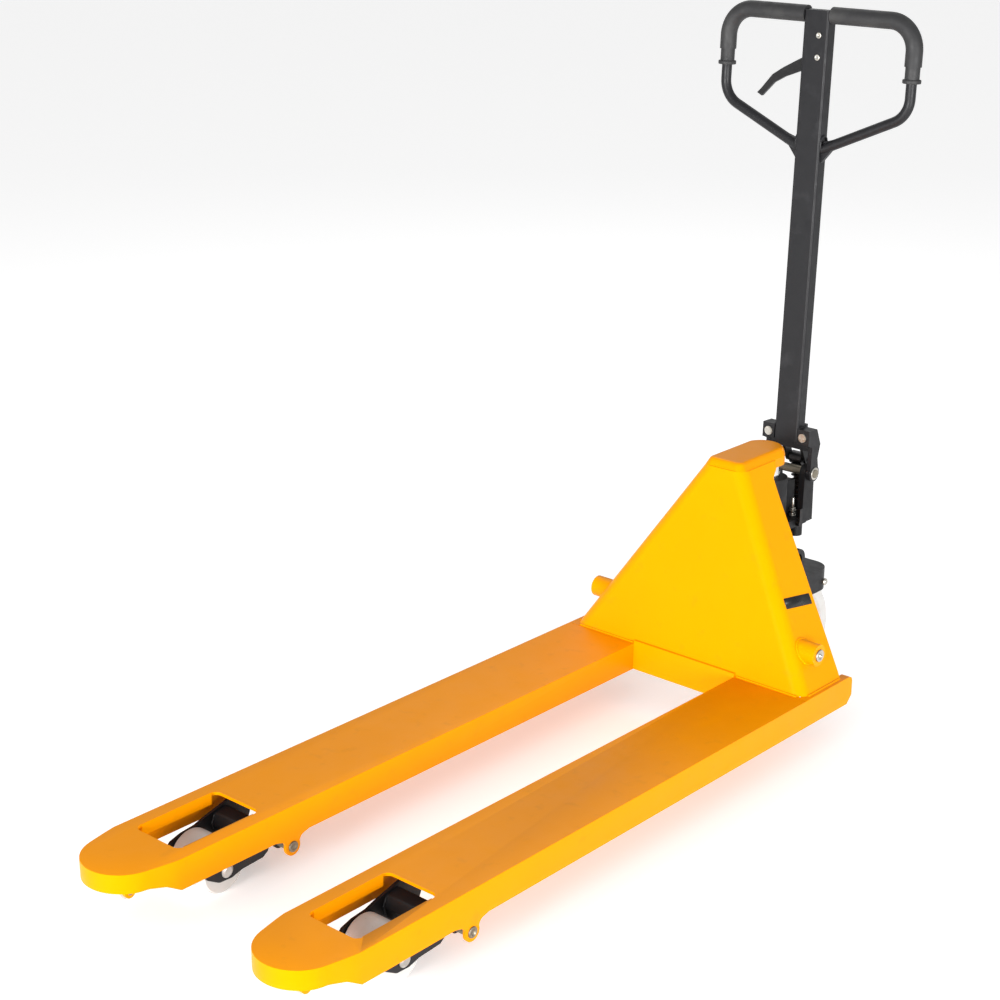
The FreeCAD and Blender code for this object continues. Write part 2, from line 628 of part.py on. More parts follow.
PUMP_Y = "face+steer_back"
column = barrel("column_radius", "column_top-column_foot", ("0", PUMP_Y, "column_foot"))
flange = barrel("collar_radius", "10", ("0", PUMP_Y, "column_foot"))
shoulder = barrel("44", "32", ("0", PUMP_Y, "258"))
leg = block("24", "64", "column_foot-wheel_radius+10", ("-12", "face+wheel_back-38", "wheel_radius-8"))
axle_boss = barrel("27", "24", ("-12", "face+wheel_back", "wheel_radius"), "X")
reservoir = plate("XY", [("-36", "0"), ("36", "0"), ("36", "70"), ("18", "106"), ("-18", "106"), ("-36", "70")],
                  "block_top-block_floor", ("0", PUMP_Y, "block_floor"),
                  rounds=[(2, "10"), (5, "10"), (3, "8"), (4, "8")])
ears = []
for x in ("28", "-40"):
    ears.append(plate("YZ", [("-18", "-94"), ("16", "-94"), ("15", 0), ("-15", 0)],
                      "12", (x, "face+hinge_back", "hinge_height")))
    ears.append(barrel("15", "12", (x, "face+hinge_back", "hinge_height"), "X"))
spine = block("16", "40", "64", ("-8", "face+steer_back+29", "block_top-1"))
plunger_tube = barrel("13", "block_top-260", ("0", "face+plunger_back", "260"))
pump_bores = [
    barrel("ram_radius+running", "column_top-221", ("0", PUMP_Y, "222")),
    barrel("hinge_radius", "90", ("-45", "face+hinge_back", "hinge_height"), "X"),
    barrel("8+running", "60", ("0", "face+plunger_back", "264")),
    barrel("axle_radius", "30", ("-15", "face+wheel_back", "wheel_radius"), "X"),
]
pump_casting = joined(column, flange, shoulder, leg, axle_boss, reservoir, spine, plunger_tube, *ears)
keep("pump_body", carved(pump_casting, *pump_bores))


def guard_outline(inset):
    """The wheel guard seen from above."""
    half = "(guard_half-%s)" % inset
    return [("-" + half, "steer_back-12"), (half, "steer_back-12"),
            (half, "guard_back-%s" % inset), ("-" + half, "guard_back-%s" % inset)]


guard_skin = plate("XY", guard_outline("0"), "guard_top-guard_low", ("0", "face", "guard_low"),
                   rounds=[(2, "guard_round"), (3, "guard_round")])
guard_hollow = plate("XY", guard_outline("guard_wall"), "guard_top-guard_low-guard_wall",
                     ("0", "face", "guard_low"), rounds=[(2, "guard_round-guard_wall"), (3, "guard_round-guard_wall")])
guard_front = block("2*guard_half-2*guard_wall", "20", "guard_top-guard_low-guard_wall",
                    ("-guard_half+guard_wall", "face+steer_back-20", "guard_low"))
guard_notch = block("24.4", "80", "60", ("-12.2", "face+steer_back-20", "guard_low"))
guard_hole = barrel("3", "guard_wall+2", ("guard_half-guard_wall-1", "face+guard_back-24", "guard_low+15"), "X")
keep("wheel_guard", carved(guard_skin, guard_hollow, guard_front, guard_notch, guard_hole))
keep("guard_bolts", group([turned([(0, 0), (0, 3), ("guard_wall", 3), ("guard_wall", 6.5),
                                   ("guard_wall+3", 6.5), ("guard_wall+5", 4), ("guard_wall+5", 0)],
                                  ("guard_half-guard_wall", "face+guard_back-24", "guard_low+15"))]))

keep("steer_axle", barrel("axle_radius", "2*wheel_gap+2*wheel_width+8",
                          ("-wheel_gap-wheel_width-4", "face+wheel_back", "wheel_radius"), "X"))
for word, side in FORK_SIDES.items():
    left = "%d*(wheel_gap+wheel_width/2)" % side
    half = "wheel_width/2"
    keep("steer_wheel_" + word, turned([
        ("-" + half, "26"), ("-" + half, "36"), ("-%s+9" % half, "40"), ("-%s+9" % half, "72"),
        ("-" + half, "78"), ("-" + half, "wheel_radius-4"), ("-%s+4" % half, "wheel_radius"),
        (half + "-4", "wheel_radius"), (half, "wheel_radius-4"), (half, "78"), (half + "-9", "72"),
        (half + "-9", "40"), (half, "36"), (half, "26"), (half + "-14", "26"), (half + "-14", "18"),
        ("-%s+14" % half, "18"), ("-%s+14" % half, "26"),
    ], (left, "face+wheel_back", "wheel_radius")))
    keep("steer_bearings_" + word, group([
        bearing(left + x, "face+wheel_back", "wheel_radius", "axle_radius+running", "26", "14")
        for x in ("-wheel_width/2", "+wheel_width/2-14")]))
keep("axle_circlips", group([
    tube("15", "axle_radius", "1.6", (x, "face+wheel_back", "wheel_radius"), "X")
    for x in ("wheel_gap+wheel_width+1", "-wheel_gap-wheel_width-2.6")]))

keep("hinge_pin", barrel("hinge_radius", "106", ("-53", "face+hinge_back", "hinge_height"), "X"))
keep("pump_plunger", turned([("-98", 0), ("-98", 8), ("-6", 8), ("-6", 15), ("-1", 15), (0, 13), (0, 0)],
                            ("0", "face+plunger_back", "hinge_height+2.2"), axis="Z"))


def coil_spring():
    """The plunger's return spring, a coil between the plunger's bore and its head."""
    foot = size("block_top") + 1.9
    head = size("hinge_height") - 3.4 - 1.9
    turns = 8
    helix = Part.makeHelix((head - foot) / turns, head - foot, 11.4)
    start = FreeCAD.Vector(11.4, 0, 0)
    ring = Part.Wire([Part.makeCircle(1.5, start, FreeCAD.Vector(0, 1, 0))])
    coil = Part.Wire(helix.Edges).makePipeShell([ring], True, True)
    coil.translate(FreeCAD.Vector(0, size("face") + size("plunger_back"), foot))
    return coil


spring = doc.addObject("Part::Feature", "spring")
spring.Shape = coil_spring()
keep("plunger_spring", spring)

keep("filler_plug", turned([(0, 0), (0, 9), (5, 9), (7, 7), (7, 0)],
                            ("-18", PUMP_Y + "+44", "block_top"), axis="Z"))
keep("lowering_lever", joined(
    barrel("6", "8", ("36.3", "face+steer_back+40", "304.5"), "X"),
    block("4", "8", "30", ("40.3", "face+steer_back+36", "302.5"))))

# ---------------------------------------------------------------- handle


def on_handle(name, piece):
    """Place a piece drawn about the hinge pin: it leans back with the mast."""
    whole = group([piece])
    whole.Placement.Rotation = FreeCAD.Rotation(FreeCAD.Vector(-1, 0, 0), size("lean"))
    whole.setExpression("Placement.Rotation.Angle", formula("lean"))
    move(whole, ("0", "face+hinge_back", "hinge_height"))
    return keep(name, whole)


mast_box = plate("XY", [("-mast_width/2", "-mast_front"), ("mast_width/2", "-mast_front"),
                        ("mast_width/2", "-mast_front+mast_depth"), ("-mast_width/2", "-mast_front+mast_depth")],
                 "loop_height-mast_foot+tube_radius-1", ("0", "0", "mast_foot"), rounds=[(n, "4") for n in range(4)])
mast_hollow = block("mast_width-6", "mast_depth-6", "loop_height-mast_foot-20",
                    ("-mast_width/2+3", "-mast_front+3", "mast_foot-1"))
mast_window = block("8", "14", "52", ("-mast_width/2-1", "-mast_front+mast_depth/2-7", "lever_rise-44"))
MAST_MIDDLE = "-mast_front+mast_depth/2"


def bent_tube(points, bends, radius, bore=0.0):
    """A round tube along straight runs joined by arcs, in the plane of the mast."""
    middle = number(MAST_MIDDLE)
    places = [FreeCAD.Vector(x, middle, z) for x, z in points]
    edges = []
    here = places[0]
    for index in range(1, len(places) - 1):
        before = (places[index - 1] - places[index]).normalize()
        after = (places[index + 1] - places[index]).normalize()
        half_turn = (math.pi - before.getAngle(after)) / 2
        reach = bends[index - 1] * math.tan(half_turn)
        first = places[index] + before * reach
        last = places[index] + after * reach
        bisector = (before + after).normalize()
        depth = bends[index - 1] / math.cos(half_turn) - bends[index - 1]
        edges.append(Part.LineSegment(here, first).toShape())
        edges.append(Part.Arc(first, places[index] + bisector * depth, last).toShape())
        here = last
    edges.append(Part.LineSegment(here, places[-1]).toShape())
    path = Part.Wire(edges)
    heading = edges[0].tangentAt(edges[0].FirstParameter)

    def swept(r):
        ring = Part.Wire([Part.makeCircle(r, places[0], heading)])
        return path.makePipeShell([ring], True, False)
    solid = swept(radius)
    return solid.cut(swept(bore)) if bore else solid


def loop_points(side):
    """Half of the handle loop, from the mast's top round to the mast's side."""
    return [(0, size("loop_height")), (side * size("loop_half"), size("loop_height")),
            (side * size("loop_half"), size("loop_elbow")), (side * (size("mast_width") / 2 + 1), size("loop_root"))]


def loop_gusset(side):
    """The flattened end of a loop arm where it is welded to the mast."""
    x = side * number("mast_width/2")
    corners = [(x, size("loop_root") + 12), (x + side * 34, size("loop_root") + 22),
               (x + side * 26, size("loop_root") + 8), (x, size("loop_root") - 24)]
    wire = Part.makePolygon([FreeCAD.Vector(a, number(MAST_MIDDLE) - 4, b) for a, b in corners + corners[:1]])
    return Part.Face(wire).extrude(FreeCAD.Vector(0, 8, 0))


loop_shape = None
for side in FORK_SIDES.values():
    half_loop = bent_tube(loop_points(side), [size("top_bend"), size("low_bend")], size("tube_radius"))
    half_loop = half_loop.fuse(loop_gusset(side))
    loop_shape = half_loop if loop_shape is None else loop_shape.fuse(half_loop)
mast_core = Part.makeBox(size("mast_width"), size("mast_depth"), size("loop_height") - 20,
                         FreeCAD.Vector(-size("mast_width") / 2, -size("mast_front"), 0))
loop_piece = doc.addObject("Part::Feature", "loop")
loop_piece.Shape = loop_shape.cut(mast_core).removeSplitter()
on_handle("handle_loop", loop_piece)
mast_seat = doc.addObject("Part::Feature", "seat")
mast_seat.Shape = bent_tube(loop_points(-1)[:2] + [(-size("loop_half"), 700)], [size("top_bend")], size("tube_radius")).fuse(
    bent_tube(loop_points(1)[:2] + [(size("loop_half"), 700)], [size("top_bend")], size("tube_radius")))
stud_holes = [barrel("4", "mast_depth+2", ("lever_x", "-mast_front-1", "lever_rise"), "Y")]
on_handle("mast", carved(mast_box, mast_hollow, mast_window, mast_seat, *stud_holes))
for word, side in FORK_SIDES.items():
    start = side * (number("mast_width/2") + 0.5)
    corner = (side * size("loop_half"), size("loop_height"))
    sleeve = bent_tube([(start, size("loop_height")), corner, (side * size("loop_half"), size("grip_end") + 24)],
                       [size("top_bend")], size("grip_radius"), size("tube_radius"))
    neck = bent_tube([(start, size("loop_height")), corner, (side * size("loop_half"), size("grip_end"))],
                     [size("top_bend")], size("grip_neck"), size("tube_radius"))
    grip = doc.addObject("Part::Feature", "grip")
    grip.Shape = sleeve.fuse(neck).removeSplitter()
    on_handle("grip_" + word, grip)

YOKE_CHEEK = [("-14", "-4"), ("-13", "50"), ("-27", "57"), ("-27", "84"),
              ("-1", "84"), ("13", "54"), ("7", "28"), ("14", "-4")]
cheeks = []
for x in ("41.5", "-50"):
    cheeks.append(plate("YZ", YOKE_CHEEK, "8.5", (x, "0", "0"), rounds=[(4, "5"), (5, "6"), (6, "6")]))
    cheeks.append(barrel("15", "8.5", (x, "0", "0"), "X"))
bridge = [
    block("100", "26", "28", ("-50", "-27", "56")),
    block("84", "18", "14", ("-42", "-12", "42")),
    block("50", "12", "46", ("-25", "-6", "42")),
]
ribs = [link("34", "8", "8", "6", (x, "4", "46"), "-62.5") for x in ("16", "-22")]
yoke_cuts = [
    block("mast_width+0.1", "mast_depth+0.1", "60", ("-mast_width/2-0.05", "-mast_front-0.05", "mast_foot")),
    barrel("hinge_radius+running", "110", ("-55", "0", "0"), "X"),
    barrel("4", "60", ("-30", "cam_back", "cam_rise"), "X"),
    barrel("4", "40", ("36.6", "-34", "69.5"), "Y"),
    barrel("4", "40", ("-36.6", "-34", "69.5"), "Y"),
]
on_handle("handle_yoke", carved(joined(*cheeks, *bridge, *ribs), *yoke_cuts))


def yoke_bolt(x):
    """A domed bolt through the yoke, its head towards the forks."""
    return joined(barrel("8", "2.5", (x, "-29.5", "69.5"), "Y"), barrel("6.5", "1", (x, "-30.5", "69.5"), "Y"),
                  barrel("4", "28", (x, "-28", "69.5"), "Y"))


on_handle("yoke_bolts", group([yoke_bolt("36.6"), yoke_bolt("-36.6")]))
on_handle("cam_pin", barrel("4", "48", ("-24", "cam_back", "cam_rise"), "X"))
on_handle("cam_roller", tube("cam_radius", "4+running", "26", ("-13", "cam_back", "cam_rise"), "X"))

lever_bar = plate("XZ", [("8", "-9"), ("8", "9"), ("-12", "8"), ("-40", "-4"), ("-74", "-22"), ("-96", "-36"),
                         ("-118", "-62"), ("-126", "-70"), ("-116", "-75"), ("-92", "-50"), ("-70", "-38"),
                         ("-34", "-24"), ("-12", "-16")],
                  "6", ("lever_x", MAST_MIDDLE + "-3", "lever_rise"), rounds=[(0, "5"), (1, "6")])
lever_eye = barrel("4+running", "8", ("lever_x", MAST_MIDDLE + "-4", "lever_rise"), "Y")
lever_stud = barrel("2.5", "6.8", ("lever_x-16", MAST_MIDDLE + "+2", "lever_rise-5"), "Y")
on_handle("control_lever", joined(carved(lever_bar, lever_eye), lever_stud))
on_handle("lever_pin", barrel("4", "mast_depth+3", ("lever_x", "-mast_front-1.5", "lever_rise"), "Y"))
rod_ring = tube("6", "3.4", "3.6", ("lever_x-16", MAST_MIDDLE + "+4.4", "lever_rise-5"), "Y")
rod_bar = barrel("2.4", "lever_rise-mast_foot-31", ("lever_x-16", MAST_MIDDLE + "+6.5", "mast_foot+20"))
rod_eye = barrel("3.4", "6", ("lever_x-16", MAST_MIDDLE + "+3.5", "lever_rise-5"), "Y")
on_handle("release_rod", carved(joined(rod_ring, rod_bar), rod_eye))

# ---------------------------------------------------------------- check and write

doc.recompute()
broken = [o.Label for o in doc.Objects if any(word in o.State for word in ("Invalid", "Error"))]
for name, piece in NODES.items():
    if piece.Shape.isNull() or not piece.Shape.isValid() or not piece.Shape.Solids:
        broken.append(name)
if broken:
    raise SystemExit("failed objects: " + ", ".join(broken))

os.makedirs("parts", exist_ok=True)
for name, piece in NODES.items():
    piece.Shape.exportStep(os.path.join("parts", name + ".step"))
    box = piece.Shape.BoundBox
    print("%-22s solids %d  volume %9.0f  x %7.1f %7.1f  y %7.1f %7.1f  z %7.1f %7.1f" % (
        name, len(piece.Shape.Solids), piece.Shape.Volume, box.XMin, box.XMax, box.YMin, box.YMax, box.ZMin, box.ZMax))
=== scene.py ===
"""Looks of a hand pallet jack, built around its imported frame. Metres, +Z up, forks towards -Y."""
import json
import math
import random

import bmesh
import bpy
from mathutils import Matrix, Vector


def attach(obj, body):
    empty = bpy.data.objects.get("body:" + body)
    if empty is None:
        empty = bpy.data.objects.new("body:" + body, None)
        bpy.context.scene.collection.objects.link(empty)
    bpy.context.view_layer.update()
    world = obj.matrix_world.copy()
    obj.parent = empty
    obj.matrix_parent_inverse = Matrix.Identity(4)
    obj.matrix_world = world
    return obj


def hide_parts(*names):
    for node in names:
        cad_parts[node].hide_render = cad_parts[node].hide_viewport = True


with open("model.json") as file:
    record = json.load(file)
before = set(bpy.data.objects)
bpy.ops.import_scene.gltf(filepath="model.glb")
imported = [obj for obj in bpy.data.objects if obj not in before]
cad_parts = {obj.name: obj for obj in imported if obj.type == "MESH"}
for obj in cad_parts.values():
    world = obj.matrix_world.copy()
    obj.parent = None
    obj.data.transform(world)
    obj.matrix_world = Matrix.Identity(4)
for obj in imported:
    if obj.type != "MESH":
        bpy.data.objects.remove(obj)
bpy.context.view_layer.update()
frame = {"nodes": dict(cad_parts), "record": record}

# The machine's own lines: the front plate's foot, the fork tops, a fork's centre line and the handle's hinge.
FACE = 0.3975
DECK = 0.115
FORK_X = 0.185
HINGE = Vector((0, FACE + 0.317, 0.395))
LEAN = math.radians(2.3)
HANDLE = Matrix.Translation(HINGE) @ Matrix.Rotation(-LEAN, 4, "X")
# The sloping shell: half its width at the foot, and how fast its sides and front draw in as they rise.
SIDE_FOOT = 0.2506
SIDE_SLOPE = 0.6225
FRONT_SETBACK = 0.005
FRONT_SLOPE = 0.2763
# Radii of the weld beads.
BEAD = 0.0022
SMALL_BEAD = 0.0020
random.seed(7)


# ------------------------------------------------------------ materials

def socket(tree, node, name, source):
    """Link a node's output, or set a plain value, on an input."""
    if isinstance(source, bpy.types.NodeSocket):
        tree.links.new(source, node.inputs[name])
    else:
        node.inputs[name].default_value = source


def add(tree, kind, settings=None, **inputs):
    """Add a shader node with its settings and inputs."""
    node = tree.nodes.new(kind)
    for key, setting in (settings or {}).items():
        setattr(node, key, setting)
    for name, source in inputs.items():
        socket(tree, node, name, source)
    return node


def place(tree, stretch=(1, 1, 1)):
    """The surface point in the piece's own metres, stretched along its axes."""
    where = add(tree, "ShaderNodeTexCoord").outputs["Object"]
    return add(tree, "ShaderNodeMapping", Vector=where, Scale=stretch).outputs["Vector"]


def cloud(tree, scale, detail=4.0, stretch=(1, 1, 1), rough=0.55):
    """Noise of a given scale, 0 to 1."""
    node = add(tree, "ShaderNodeTexNoise", Vector=place(tree, stretch), Scale=scale, Detail=detail,
               Roughness=rough)
    return node.outputs["Fac"]


def span(tree, source, low, high, to_low, to_high):
    """Remap a value from one range to another, clamped."""
    node = tree.nodes.new("ShaderNodeMapRange")
    for index, item in enumerate((source, low, high, to_low, to_high)):
        socket(tree, node, index, item)
    return node.outputs["Result"]


def blend(tree, factor, first, second, mode="MIX"):
    """Mix two colours."""
    node = add(tree, "ShaderNodeMix", {"data_type": "RGBA", "blend_type": mode})
    socket(tree, node, 0, factor)
    socket(tree, node, 6, first)
    socket(tree, node, 7, second)
    return node.outputs[2]


def relief(tree, height, strength, depth, under=None):
    """Bump from a height."""
    node = add(tree, "ShaderNodeBump", Height=height, Strength=strength, Distance=depth)
    if under is not None:
        tree.links.new(under, node.inputs["Normal"])
    return node.outputs["Normal"]


def shader(name, **fixed):
    """A new material with one Principled shader; fixed values go on its own sockets."""
    material = bpy.data.materials.new(name)
    material.use_nodes = True
    tree = material.node_tree
    main = tree.nodes["Principled BSDF"]
    for key, setting in fixed.items():
        main.inputs[key.replace("_", " ")].default_value = setting
    return material, tree, main


def paint(name, light, deep, grime=(0.12, 0.08, 0.03, 1)):
    """Enamel with a weak, tinted reflection: orange peel, mottling, patches of dust and a few fine scratches."""
    material, tree, main = shader(name, Coat_Weight=0.0, Specular_IOR_Level=0.12, IOR=1.5)
    main.inputs["Specular Tint"].default_value = (1.0, 0.66, 0.1, 1)
    mottle = blend(tree, span(tree, cloud(tree, 5.0, 3.0), 0.3, 0.7, 0.0, 1.0), light, deep)
    dust = span(tree, cloud(tree, 38.0, 6.0), 0.6, 0.8, 0.0, 0.12)
    soiled = blend(tree, dust, mottle, grime)
    scratch = span(tree, cloud(tree, 60.0, 2.0, (14, 0.7, 9)), 0.72, 0.75, 0.0, 0.25)
    scuffed = blend(tree, scratch, soiled, tuple(min(1.0, c * 1.15 + 0.03) for c in light[:3]) + (1,))
    socket(tree, main, "Base Color", scuffed)
    socket(tree, main, "Roughness", span(tree, cloud(tree, 24.0, 5.0), 0.3, 0.75, 0.3, 0.44))
    peel = relief(tree, cloud(tree, 620.0, 2.0), 0.07, 0.0004)
    socket(tree, main, "Normal", relief(tree, cloud(tree, 14.0, 2.0), 0.05, 0.002, peel))
    return material


def black_coat(name, tone, rough):
    """Black powder coat: fine pebbling and rubbed patches."""
    material, tree, main = shader(name, Specular_IOR_Level=0.3)
    rubbed = span(tree, cloud(tree, 22.0, 6.0), 0.58, 0.78, 0.0, 0.5)
    lighter = tuple(c * 2.4 + 0.012 for c in tone[:3]) + (1,)
    socket(tree, main, "Base Color", blend(tree, rubbed, tone, lighter))
    socket(tree, main, "Roughness", span(tree, cloud(tree, 60.0, 5.0), 0.3, 0.7, rough - 0.07, rough + 0.1))
    pebble = relief(tree, cloud(tree, 950.0, 3.0), 0.16, 0.0004)
    socket(tree, main, "Normal", relief(tree, cloud(tree, 30.0, 3.0), 0.06, 0.002, pebble))
    return material


def metal(name, tone, rough, stretch=(1, 1, 1)):
    """Turned or plated steel with fine tool marks and dull patches."""
    material, tree, main = shader(name, Metallic=1.0)
    patch = span(tree, cloud(tree, 45.0, 5.0), 0.35, 0.7, 0.0, 0.6)
    dull = (tone[0] * 0.62, tone[1] * 0.6, tone[2] * 0.56, 1)
    socket(tree, main, "Base Color", blend(tree, patch, tone, dull))
    marks = cloud(tree, 220.0, 4.0, stretch)
    socket(tree, main, "Roughness", span(tree, marks, 0.3, 0.7, rough - 0.08, rough + 0.14))
    socket(tree, main, "Normal", relief(tree, cloud(tree, 900.0, 3.0, stretch), 0.12, 0.0002))
    return material


def nylon(name):
    """Cast white nylon: slightly waxy, with fine turning rings, dirt and scuffs on the tread."""
    material, tree, main = shader(name, Subsurface_Weight=0.12, Subsurface_Scale=0.004, IOR=1.53)
    main.inputs["Subsurface Radius"].default_value = (1.0, 0.9, 0.75)
    stain = span(tree, cloud(tree, 34.0, 7.0), 0.5, 0.78, 0.0, 0.32)
    speck = span(tree, cloud(tree, 260.0, 4.0), 0.66, 0.72, 0.0, 0.45)
    base = blend(tree, stain, (0.6, 0.59, 0.57, 1), (0.4, 0.38, 0.34, 1))
    socket(tree, main, "Base Color", blend(tree, speck, base, (0.3, 0.28, 0.25, 1)))
    socket(tree, main, "Roughness", span(tree, cloud(tree, 70.0, 5.0), 0.3, 0.7, 0.38, 0.58))
    rings = relief(tree, cloud(tree, 420.0, 2.0, (6, 0.6, 0.6)), 0.16, 0.0005)
    socket(tree, main, "Normal", relief(tree, cloud(tree, 140.0, 4.0), 0.1, 0.0006, rings))
    return material


def rubber(name):
    """Matt grip rubber with a fine pebble and worn, paler patches."""
    material, tree, main = shader(name, IOR=1.48)
    worn = span(tree, cloud(tree, 26.0, 6.0), 0.5, 0.75, 0.0, 0.6)
    socket(tree, main, "Base Color", blend(tree, worn, (0.016, 0.016, 0.017, 1), (0.045, 0.044, 0.043, 1)))
    socket(tree, main, "Roughness", span(tree, cloud(tree, 90.0, 4.0), 0.3, 0.7, 0.5, 0.68))
    pebble = relief(tree, cloud(tree, 1400.0, 2.0), 0.3, 0.0004)
    socket(tree, main, "Normal", relief(tree, cloud(tree, 160.0, 3.0), 0.12, 0.0008, pebble))
    return material


# The fork and the chassis wear one enamel: the fork's copy is darker and more orange as painted shade, and the
# chassis's copy is lighter and yellower as painted light.
FORK_PAINT_SHADED = paint("fork_enamel_shaded", (0.84, 0.29, 0.0, 1), (0.81, 0.275, 0.0, 1))
CHASSIS_PAINT_LIT = paint("chassis_enamel_lit", (0.88, 0.33, 0.0, 1), (0.85, 0.315, 0.0, 1))
BLACK = black_coat("black_powder_coat", (0.009, 0.009, 0.0105, 1), 0.42)
CASTING = black_coat("black_casting", (0.008, 0.008, 0.009, 1), 0.52)
PLASTIC = black_coat("black_moulding", (0.010, 0.010, 0.0105, 1), 0.38)
STEEL = metal("turned_steel", (0.56, 0.55, 0.53, 1), 0.3, (1, 12, 12))
ZINC = metal("zinc_plate", (0.62, 0.60, 0.55, 1), 0.34)
DULL = metal("dull_steel", (0.3, 0.27, 0.21, 1), 0.45, (1, 9, 9))
OXIDE = metal("black_oxide", (0.06, 0.058, 0.06, 1), 0.4)
CHROME = metal("ram_chrome", (0.78, 0.78, 0.78, 1), 0.14, (8, 8, 1))
NYLON = nylon("white_nylon")
GRIP = rubber("grip_rubber")
LABEL = black_coat("blank_label", (0.01, 0.01, 0.01, 1), 0.3)

# The look of each material slot, and of the nodes whose look differs from their slot.
FINISH = {
    "fork_paint": FORK_PAINT_SHADED,
    "chassis_paint": CHASSIS_PAINT_LIT,
    "black_paint": BLACK,
    "steel": STEEL,
    "chrome": CHROME,
    "nylon": NYLON,
    "rubber": GRIP,
    "black_plastic": PLASTIC,
}
SPECIAL = {
    "pump_body": CASTING, "guard_bolts": ZINC, "yoke_bolts": ZINC, "axle_circlips": ZINC,
    "pivot_shafts": DULL, "rocker_shaft": DULL, "entry_axles": DULL, "cam_roller": OXIDE, "cam_pin": OXIDE,
    "plunger_spring": OXIDE, "pump_plunger": OXIDE, "hinge_pin": DULL, "lowering_lever": OXIDE,
}


def dress(piece, material):
    """Give a piece one material."""
    piece.data.materials.clear()
    piece.data.materials.append(material)


for row in frame["record"]["subparts"]:
    node = frame["nodes"][row["node"]]
    dress(node, SPECIAL.get(row["node"], FINISH[row["material_slot"]]))


# ------------------------------------------------------------ shapes

def finish_mesh(name, mesh, material, body, matrix=None):
    """Turn a bmesh into a named piece that rides on a body."""
    data = bpy.data.meshes.new(name)
    bmesh.ops.recalc_face_normals(mesh, faces=mesh.faces)
    if matrix is not None:
        mesh.transform(matrix)
    mesh.to_mesh(data)
    mesh.free()
    piece = bpy.data.objects.new(name, data)
    bpy.context.scene.collection.objects.link(piece)
    dress(piece, material)
    data.shade_smooth()
    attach(piece, body)
    return piece


def tube_along(mesh, points, radii, sides=10, closed=False, squash=1.0):
    """A tube through points with its own radius at each."""
    count = len(points)
    rings = []
    for index, point in enumerate(points):
        before = points[index - 1] if index or closed else point
        after = points[(index + 1) % count] if index < count - 1 or closed else point
        heading = (after - before).normalized()
        side = heading.cross(Vector((0.31, 0.52, 0.79))).normalized()
        up = heading.cross(side)
        ring = []
        for step in range(sides):
            turn = 2 * math.pi * step / sides
            offset = side * math.cos(turn) + up * math.sin(turn) * squash
            ring.append(mesh.verts.new(point + offset * radii[index]))
        rings.append(ring)
    for index in range(count if closed else count - 1):
        here, there = rings[index], rings[(index + 1) % count]
        for step in range(sides):
            after = (step + 1) % sides
            mesh.faces.new((here[step], here[after], there[after], there[step]))
    if not closed:
        mesh.faces.new(rings[0])
        mesh.faces.new(rings[-1])


def resampled(points, pitch, closed=False):
    """The same polyline with a point at every pitch."""
    path = points + points[:1] if closed else points
    result = []
    for start, stop in zip(path, path[1:]):
        steps = max(1, round((stop - start).length / pitch))
        result += [start.lerp(stop, step / steps) for step in range(steps)]
    return result if closed else result + [path[-1]]


def weld(name, paths, radius, material, body, matrix=None, closed=False):
    """Weld beads: a row of overlapping ripples along each path."""
    mesh = bmesh.new()
    for path in paths:
        points = resampled(path, radius * 0.45, closed)
        radii = []
        for index in range(len(points)):
            ripple = 0.86 + 0.14 * abs(math.sin(index * math.pi / 4))
            taper = 1.0 if closed else min(1.0, 0.45 + 0.25 * min(index, len(points) - 1 - index))
            radii.append(radius * ripple * taper * random.uniform(0.95, 1.05))
        tube_along(mesh, points, radii, 8, closed)
    return finish_mesh(name, mesh, material, body, matrix)


def turned(mesh, profile, centre, axis, sides=32):
    """Sweep (along, radius) points round an axis through a centre."""
    axis = Vector(axis).normalized()
    side = axis.orthogonal().normalized()
    up = axis.cross(side)
    rings = []
    for along, radius in profile:
        middle = Vector(centre) + axis * along
        if radius < 1e-6:
            rings.append([mesh.verts.new(middle)])
            continue
        rings.append([mesh.verts.new(middle + (side * math.cos(2 * math.pi * s / sides)
                                               + up * math.sin(2 * math.pi * s / sides)) * radius)
                      for s in range(sides)])
    for here, there in zip(rings, rings[1:]):
        for step in range(sides):
            after = (step + 1) % sides
            corners = [here[step % len(here)], here[after % len(here)],
                       there[after % len(there)], there[step % len(there)]]
            unique = list(dict.fromkeys(corners))
            if len(unique) > 2:
                mesh.faces.new(unique)


def hexagon(mesh, centre, axis, across, height):
    """A hexagonal bolt head on a round washer, chamfered, with a small stub on top."""
    radius = across / math.sqrt(3)
    head = [(0, 0), (0, radius), (height * 0.82, radius), (height, radius * 0.86), (height, 0)]
    washer = [(-0.0002, 0), (-0.0002, radius * 1.16), (height * 0.16, radius * 1.16), (height * 0.16, 0)]
    stub = [(height, 0), (height, across * 0.3), (height * 1.3, across * 0.26), (height * 1.3, 0)]
    for profile, sides in ((head, 6), (washer, 24), (stub, 16)):
        turned(mesh, profile, centre, axis, sides)


def buttons(name, places, profile, material, body, matrix=None):
    """The same small turned piece at several places, each a centre and the way it faces."""
    mesh = bmesh.new()
    for centre, facing in places:
        turned(mesh, profile, centre, facing, 28)
    return finish_mesh(name, mesh, material, body, matrix)


def oval(x, y, z, wide, tall, count):
    """Points round an oval about the X axis, given its half sizes along Y and Z; x may change with height."""
    result = []
    for step in range(count):
        turn = 2 * math.pi * step / count
        height = z + tall * math.sin(turn)
        result.append(Vector((x(height) if callable(x) else x, y + wide * math.cos(turn), height)))
    return result


# ------------------------------------------------------------ chassis

def front_at(rise):
    """How far back the sloping front plate is at a height above the fork tops."""
    return FACE + FRONT_SETBACK + FRONT_SLOPE * rise


def side_at(rise):
    """Half the shell's width at a height above the fork tops."""
    return SIDE_FOOT - SIDE_SLOPE * rise


# The forks' rounded rims: how far from the centre line the side edges lie, where the nose starts, and the radius.
FORK_RIM = 0.0735
NOSE_START = FACE - 1.0395
RIM_ROUND = 0.0045


